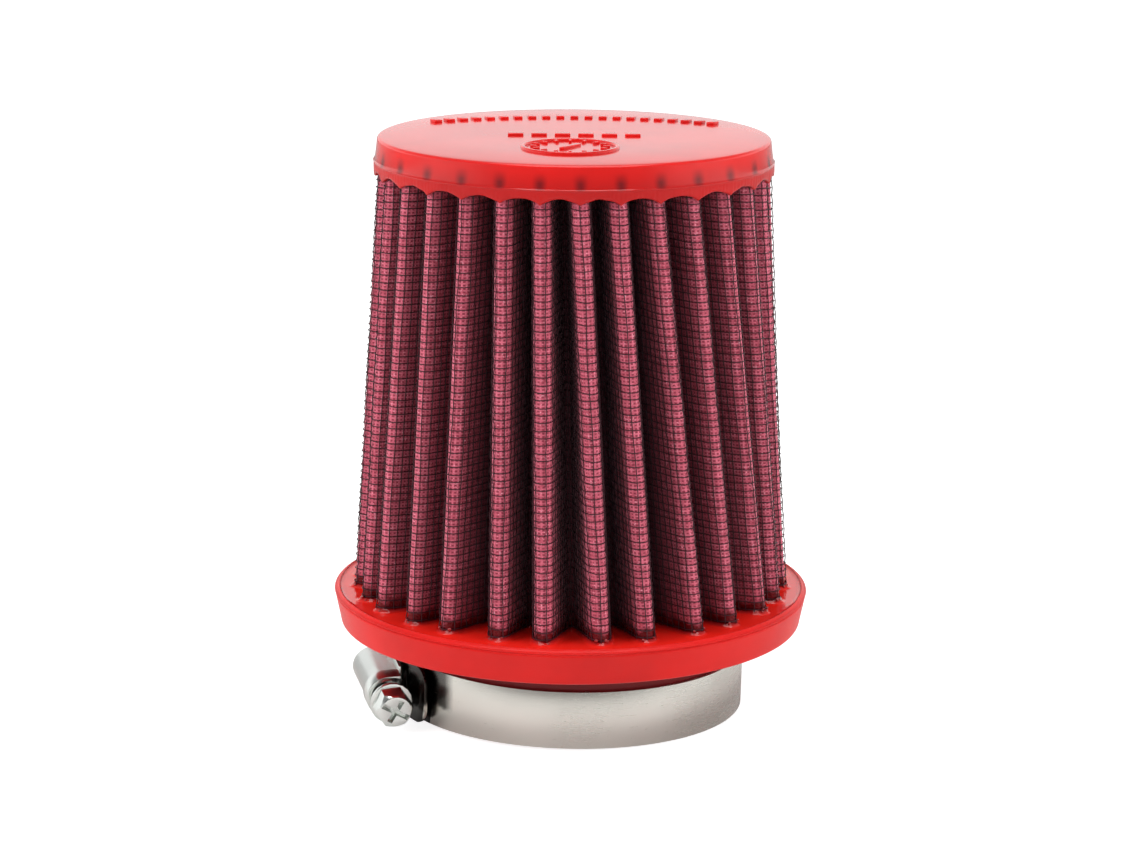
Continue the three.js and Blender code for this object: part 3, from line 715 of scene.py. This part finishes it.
def distance_to_pack(points):
    """Distance of flat points from the pack's middle surface at the flange's top."""
    outline = pack_surface(np.arange(0, OUTLINE_POINTS, 0.5), FLANGE_TOP, 0)[0][:, :2]
    nearest = []
    for part in np.array_split(points, 200):
        away = part[:, None] - outline
        nearest.append(np.sqrt((away ** 2).sum(-1)).min(1))
    return np.concatenate(nearest)


def neck_and_side():
    """(radius, height) points from the neck's bore round its end and the underside to the rim."""
    profile = [(NECK_INNER_RADIUS, POOL - 1.0), (NECK_INNER_RADIUS, NECK_END + 12)]
    profile += [(NECK_INNER_RADIUS, NECK_END + NECK_INNER_EDGE)]
    middle = (NECK_INNER_RADIUS + NECK_INNER_EDGE, NECK_END + NECK_INNER_EDGE)
    profile += arc(middle, NECK_INNER_EDGE, 195, 262, 4)
    middle = (NECK_OUTER_RADIUS - NECK_OUTER_EDGE, NECK_END + NECK_OUTER_EDGE)
    profile += arc(middle, NECK_OUTER_EDGE, 275, 355, 5)
    profile += [(NECK_OUTER_RADIUS, NECK_END + 6), (NECK_OUTER_RADIUS, NECK_END + 11)]
    profile += [(NECK_OUTER_RADIUS, NECK_END + 12), (NECK_OUTER_RADIUS, UNDERSIDE - 1.2)]
    profile += arc((NECK_OUTER_RADIUS + NECK_FILLET, UNDERSIDE - NECK_FILLET), NECK_FILLET, 170, 95, 5)
    profile += [(40, UNDERSIDE), (44, UNDERSIDE), (LOW_RADIUS - 1.2, UNDERSIDE)]
    side_low = UNDERSIDE + LOWER_EDGE
    profile += arc((LOW_RADIUS - LOWER_EDGE, side_low), LOWER_EDGE, 280, 350, 6)
    for share in np.linspace(0.15, 1, 7):
        radius = LOW_RADIUS + (FLANGE_RADIUS - LOW_RADIUS) * share
        profile.append((radius, side_low + (SIDE_TOP - side_low) * share))
    return profile


def base_flange():
    parts = {
        "neck_and_side": neck_and_side(),
        "outer_bead": arc((FLANGE_RADIUS - 0.1, SIDE_TOP + 0.05), 0.13, -60, 120, 7),
        "ledge": [(FLANGE_RADIUS - 0.4, SIDE_TOP + 0.22), (FLANGE_RADIUS - 0.75, FLANGE_TOP - 0.22)],
        "inner_bead": arc((FLANGE_RADIUS - 0.98, FLANGE_TOP - 0.13), 0.15, 10, 165, 6),
        "brim": [(FLANGE_RADIUS - 1.3, POOL + 0.12), (FLANGE_RADIUS - 1.6, POOL + 0.03)],
        "pool": [(r, POOL) for r in np.linspace(FLANGE_RADIUS - 1.9, NECK_INNER_RADIUS + 0.5, 46)],
    }
    profile = np.array([point for part in parts.values() for point in part])
    ends = np.cumsum([len(part) for part in parts.values()])
    rows = {name: slice(end - len(parts[name]), end) for name, end in zip(parts, ends)}
    radii, heights = (np.repeat(axis[:, None], ROUND_COLUMNS, axis=1) for axis in profile.T)
    wander = smooth_noise(ROUND_COLUMNS, range(11, 150, 9), 0.06)
    beading = smooth_noise(ROUND_COLUMNS, range(160, 430, 17), 0.08)
    radii[rows["outer_bead"]] += 0.4 * beading
    heights[rows["outer_bead"]] += wander * 0.5
    radii[rows["inner_bead"]] += wander
    heights[rows["inner_bead"]] += beading
    points = turned_rows(radii, heights, ANGLES)
    pool = points[rows["pool"]]
    clear = distance_to_pack(pool[..., :2].reshape(-1, 2)).reshape(pool.shape[:2]) - PACK_HALF
    rise = MENISCUS_HEIGHT * (1 + smooth_noise(ROUND_COLUMNS, range(25, 140, 11), 0.35))
    climb = rise * np.exp(-np.maximum(clear, 0) / MENISCUS_WIDTH)
    pool[..., 2] += climb
    quads = grid_quads(len(profile), ROUND_COLUMNS, join_rows=True)
    mesh = mesh_from("base_flange_moulding", points.reshape(-1, 3), [quads])
    shade = np.where((heights < UNDERSIDE + 0.4) & (radii < LOW_RADIUS - 0.5), UNDERSIDE_SHADE, 0.0)
    corner = (heights < UNDERSIDE + 0.2) & (heights > NECK_END + 6) & (radii < NECK_OUTER_RADIUS + 5)
    shade[corner] = CORNER_SHADE
    shade[rows["pool"]] = MENISCUS_SHADE * np.clip(climb / MENISCUS_HEIGHT, 0, 1) ** 0.7
    point_attribute(mesh, "shade", shade)
    add_piece(mesh, FLANGE_RED, "filter", ("base_flange",))
    other_material(mesh, POURED_RED, range(rows["brim"].start, len(profile)))


BEADS_PER_PLEAT = 4  # a larger one near each corner of the fold, the others anywhere
FOLD_CORNERS = (1.15, -1.15)
BEADS_REACH = 1.5  # how far to either side of a crest they stand
BEAD_SIZE = (0.16, 0.34)  # smallest and largest radius
CORNER_BEAD = 1.25  # share of that size
OTHER_BEAD = 0.9


def round_body(work, centre, radii, turn):
    """Adds a squashed ball to a bmesh."""
    place = Matrix.Translation(Vector(centre) * MM) @ Matrix.Rotation(turn, 4, "Z")
    scale = Matrix.Diagonal((*(r * MM for r in radii), 1))
    bmesh.ops.create_icosphere(work, subdivisions=3, radius=1, matrix=place @ scale)


def foot_beads():
    """Drops of cast resin that froze where the folds' crests leave the flange."""
    work = bmesh.new()
    crest_rows = fold_angles(0.0)
    tip = TIP_RADIUS_LOW
    for crest in crest_rows:
        for number in range(BEADS_PER_PLEAT):
            size = rng.uniform(*BEAD_SIZE)
            if number < len(FOLD_CORNERS):
                size *= CORNER_BEAD
                across = FOLD_CORNERS[number] + rng.uniform(-0.25, 0.25)
            else:
                size *= OTHER_BEAD
                across = rng.uniform(-BEADS_REACH, BEADS_REACH)
            turn = crest + across / tip
            out = tip - 0.35 * across ** 2 + rng.uniform(-0.15, 0.15)
            level = FLANGE_TOP - POUR_LEVEL + rng.uniform(0.2, 0.6) + rng.choice([0.0, 0.0, 0.6])
            centre = (out * math.cos(turn), out * math.sin(turn), level)
            round_body(work, centre, (0.8 * size, 1.3 * size, size), turn)
    mesh = bpy.data.meshes.new("foot_resin_beads")
    work.to_mesh(mesh)
    work.free()
    point_attribute(mesh, "shade", np.full(len(mesh.vertices), 0.75))
    add_piece(mesh, BEAD_RED, "filter", ("base_flange",))


MARK_HEIGHT = 0.45  # of the raised marks on the cap
MARK_SINK = 0.25
INSERT_PLACE = (-0.8, -20.0)  # middle of the round mould insert's print
INSERT_RADIUS = 9.5
RING_HALF_WIDTH = 0.45
TICKS = 16
TICK_INSET = 2.2
TICK_SIZE = (1.4, 0.6)
POINTER_SIZE = (7.0, 1.1)
POINTER_DEGREES = 60
BAR_ROW_PLACES = np.linspace(-12, 12, 6)
BAR_ROW_LEVEL = -3  # along Y
ROW_BAR_SIZE = (3.2, 2.4)
BAR_ARC_RADIUS = 60.0
BAR_ARC_MIDDLE = -37.0
BAR_ARC_DEGREES = np.linspace(61, 119, 21)
ARC_BAR_SIZE = (2.6, 1.7)


def raised_bar(work, place, length_and_width, turn):
    """Adds a small bar with softened edges, standing on the cap, to a bmesh."""
    middle = Vector((*place, CAP_TOP + (MARK_HEIGHT - MARK_SINK) / 2))
    matrix = Matrix.Translation(middle * MM) @ Matrix.Rotation(turn, 4, "Z")
    length, width = length_and_width
    size = Matrix.Diagonal((length * MM, width * MM, (MARK_HEIGHT + MARK_SINK) * MM, 1))
    made = bmesh.ops.create_cube(work, size=1, matrix=matrix @ size)
    edges = {edge for vertex in made["verts"] for edge in vertex.link_edges}
    bmesh.ops.bevel(work, geom=list(edges), offset=0.14 * MM, segments=2, profile=0.5, affect="EDGES")


def cap_marks():
    """Plain raised marks: a ring with ticks and a pointer, a row of bars and an arc of bars."""
    work = bmesh.new()
    x, y = INSERT_PLACE
    out = INSERT_RADIUS - TICK_INSET
    for tick in range(TICKS):
        turn = tick * 2 * math.pi / TICKS
        raised_bar(work, (x + out * math.cos(turn), y + out * math.sin(turn)), TICK_SIZE, turn)
    raised_bar(work, (x, y), POINTER_SIZE, math.radians(POINTER_DEGREES))
    for place in BAR_ROW_PLACES:
        raised_bar(work, (place, BAR_ROW_LEVEL), ROW_BAR_SIZE, 0.0)
    for turn in np.radians(BAR_ARC_DEGREES):
        place = (BAR_ARC_RADIUS * math.cos(turn), BAR_ARC_MIDDLE + BAR_ARC_RADIUS * math.sin(turn))
        raised_bar(work, place, ARC_BAR_SIZE, turn)
    mesh = bpy.data.meshes.new("cap_mould_marks")
    work.to_mesh(mesh)
    work.free()
    point_attribute(mesh, "shade", np.full(len(mesh.vertices), 0.0))
    add_piece(mesh, CAP_RED, "filter", ("end_cap",))

    low, high = CAP_TOP - MARK_SINK, CAP_TOP + MARK_HEIGHT
    half = RING_HALF_WIDTH
    section = [(half, low), (half, high - 0.15), (half - 0.15, high)]
    section += [(0.15 - half, high), (-half, high - 0.15), (-half, low)]
    angles = np.linspace(0, 2 * math.pi, 96, endpoint=False)
    radii = np.array([[INSERT_RADIUS + out] for out, _ in section]) * np.ones(len(angles))
    heights = np.array([[level] for _, level in section]) * np.ones(len(angles))
    points = turned_rows(radii, heights, angles) + np.array([x, y, 0])
    quads = grid_quads(len(section), len(angles), join_rows=True)
    ring = mesh_from("cap_mould_ring", points.reshape(-1, 3), [quads])
    point_attribute(ring, "shade", np.zeros(len(ring.vertices)))
    add_piece(ring, CAP_RED, "filter", ("end_cap",), sharp_degrees=60)


# ---- Clamp ---------------------------------------------------------------------------------

MERGE_DISTANCE = 0.002
FLAT_DEGREES = 0.4
SHARP_DEGREES = 35


def refined(node, name, material, body, bevel):
    """A CAD node's shape with its triangles merged and its sharp edges rounded."""
    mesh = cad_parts[node].data.copy()
    mesh.name = name
    work = bmesh.new()
    work.from_mesh(mesh)
    bmesh.ops.remove_doubles(work, verts=work.verts, dist=MERGE_DISTANCE * MM)
    bmesh.ops.dissolve_limit(
        work, angle_limit=math.radians(FLAT_DEGREES), verts=work.verts, edges=work.edges,
        use_dissolve_boundaries=False,
    )
    limit = math.radians(SHARP_DEGREES)
    sharp = [edge for edge in work.edges if len(edge.link_faces) == 2 and edge.calc_face_angle(0) > limit]
    bmesh.ops.bevel(
        work, geom=sharp, offset=bevel * MM, segments=2, profile=0.5, affect="EDGES",
        clamp_overlap=True, harden_normals=False,
    )
    work.to_mesh(mesh)
    work.free()
    add_piece(mesh, material, body, (node,), sharp_degrees=40)


def clamp():
    refined("clamp_band", "clamp_band_strip", BAND_STEEL, "running_band", bevel=0.18)
    refined("clamp_band_fixed_end", "clamp_band_end", BAND_STEEL, "clamp_drive", bevel=0.15)
    refined("clamp_saddle", "clamp_saddle_plate", BAND_STEEL, "clamp_drive", bevel=0.12)
    refined("clamp_housing", "clamp_housing_shell", ZINC_STEEL, "clamp_drive", bevel=0.12)
    refined("clamp_screw", "clamp_screw_body", ZINC_STEEL, "screw", bevel=0.1)


# ---- Camera, light and floor ---------------------------------------------------------------

CAMERA_DISTANCE = 678.2
CAMERA_ELEVATION = 13.43
CAMERA_ROLL = 0.481
CAMERA_TARGET = 59.07  # height of the point it looks at
LENS = 101.8
SENSOR = 36.0
SHIFT_X = -0.0016
WORLD_FRONT = 0.15
WORLD_BACK = 1.0
FRONT_TO_BACK = (-1.0, 0.12, WORLD_FRONT, WORLD_BACK)  # two directions along Y and their brightness
WORLD_ABOVE = 0.3  # share of it left above the backdrop
BACKDROP_EDGE = (0.25, 0.55, 1.0, WORLD_ABOVE)  # two directions along Z and their share
FLOOR_SEEN = (0.45, 0.45, 0.45, 1)
FLOOR_MIRRORED = (0.66, 0.66, 0.65, 1)
FLOOR_LIFT = 0.87
FLOOR_GLOW = 0.08
FLOOR_HALF = 20.0
SOFTBOXES = (  # name, place, size, power, and whether shiny things mirror it
    ("left_softbox", (-1.1, -0.45, 0.55), (0.7, 0.9), 13, False),
    ("right_softbox", (1.1, -0.55, 0.5), (0.7, 0.9), 11, False),
    ("top_softbox", (0, -0.1, 1.3), (1.0, 1.0), 9, True),
)


def camera():
    data = bpy.data.cameras.new("camera")
    data.lens = LENS
    data.sensor_width = SENSOR
    data.shift_x = SHIFT_X
    data.clip_start = 0.05
    data.clip_end = 100
    made = bpy.data.objects.new("camera", data)
    elevation = math.radians(CAMERA_ELEVATION)
    back = Vector((0, -math.cos(elevation), math.sin(elevation)))
    made.location = Vector((0, 0, CAMERA_TARGET * MM)) + back * CAMERA_DISTANCE * MM
    facing = (-back).to_track_quat("-Z", "Y").to_matrix().to_4x4()
    roll = Matrix.Rotation(math.radians(CAMERA_ROLL), 4, "Z")
    made.rotation_euler = (facing @ roll).to_euler()
    bpy.context.scene.collection.objects.link(made)
    bpy.context.scene.camera = made


def area_light(name, location, size, power, mirrored):
    data = bpy.data.lights.new(name, "AREA")
    data.shape = "RECTANGLE"
    data.size, data.size_y = size
    data.energy = power
    made = bpy.data.objects.new(name, data)
    made.location = location
    made.rotation_euler = (Vector((0, 0, 0.06)) - made.location).to_track_quat("-Z", "Y").to_euler()
    made.visible_glossy = mirrored
    bpy.context.scene.collection.objects.link(made)


def paper_floor():
    half = FLOOR_HALF
    mesh = bpy.data.meshes.new("floor")
    corners = [(-half, -half, 0), (half, -half, 0), (half, half, 0), (-half, half, 0)]
    mesh.from_pydata(corners, [], [(0, 1, 2, 3)])
    floor = bpy.data.objects.new("floor", mesh)
    bpy.context.scene.collection.objects.link(floor)
    paper = Shader("floor_paper", Roughness=0.9, Specular_IOR_Level=0.2, Emission_Color=(1, 1, 1, 1))
    seen = paper.node("LightPath").outputs["Is Camera Ray"]
    paper.drive("Base Color", paper.mix(seen, FLOOR_MIRRORED, FLOOR_SEEN))
    paper.drive("Emission Strength", paper.ramp(seen, 0, 1, FLOOR_GLOW, FLOOR_LIFT))
    mesh.materials.append(paper.material)


def eased(tree, value, limits):
    """A smooth step of a value from two of its levels to two results."""
    step = tree.nodes.new("ShaderNodeMapRange")
    step.interpolation_type = "SMOOTHSTEP"
    for index, limit in enumerate(limits, start=1):
        step.inputs[index].default_value = limit
    tree.links.new(value, step.inputs[0])
    return step.outputs[0]


def studio_world():
    """Even white for the camera, and dim in front and overhead for all that is lit or mirrored."""
    world = bpy.data.worlds.new("studio")
    bpy.context.scene.world = world
    world.use_nodes = True
    tree = world.node_tree
    direction = tree.nodes.new("ShaderNodeSeparateXYZ")
    tree.links.new(tree.nodes.new("ShaderNodeTexCoord").outputs["Generated"], direction.inputs[0])
    brightness = tree.nodes.new("ShaderNodeMath")
    brightness.operation = "MULTIPLY"
    tree.links.new(eased(tree, direction.outputs["Y"], FRONT_TO_BACK), brightness.inputs[0])
    tree.links.new(eased(tree, direction.outputs["Z"], BACKDROP_EDGE), brightness.inputs[1])
    seen = tree.nodes.new("ShaderNodeMix")
    tree.links.new(tree.nodes.new("ShaderNodeLightPath").outputs["Is Camera Ray"], seen.inputs[0])
    tree.links.new(brightness.outputs[0], seen.inputs[2])
    seen.inputs[3].default_value = 1.0
    background = tree.nodes["Background"]
    background.inputs["Color"].default_value = (1, 1, 1, 1)
    tree.links.new(seen.outputs[0], background.inputs["Strength"])


camera()
paper_floor()
studio_world()
for softbox in SOFTBOXES:
    area_light(*softbox)
woven_mesh("outer_mesh", "outer_wire_mesh", WIRE_OUT, WIRE_RADIUS, WIRE_SIDES, CROSSING_STEPS, groups=5)
woven_mesh("inner_mesh", "inner_wire_mesh", -WIRE_OUT, WIRE_RADIUS, sides=3, steps=1, groups=1)
for layer_number in range(GAUZE_LAYERS):
    face = PACK_HALF - MESH_THICKNESS - GAUZE_GAP - layer_number * (GAUZE_THICKNESS + GAUZE_GAP)
    gauze_layer(layer_number + 1, face, GAUZE_FRONT if layer_number == 0 else GAUZE_BEHIND_SHADED)
end_cap()
cap_marks()
base_flange()
foot_beads()
refined("media_seam_strip", "media_seam_channel", BAND_STEEL, "filter", bevel=0.1)
clamp()

bpy.context.scene.view_settings.view_transform = "Standard"
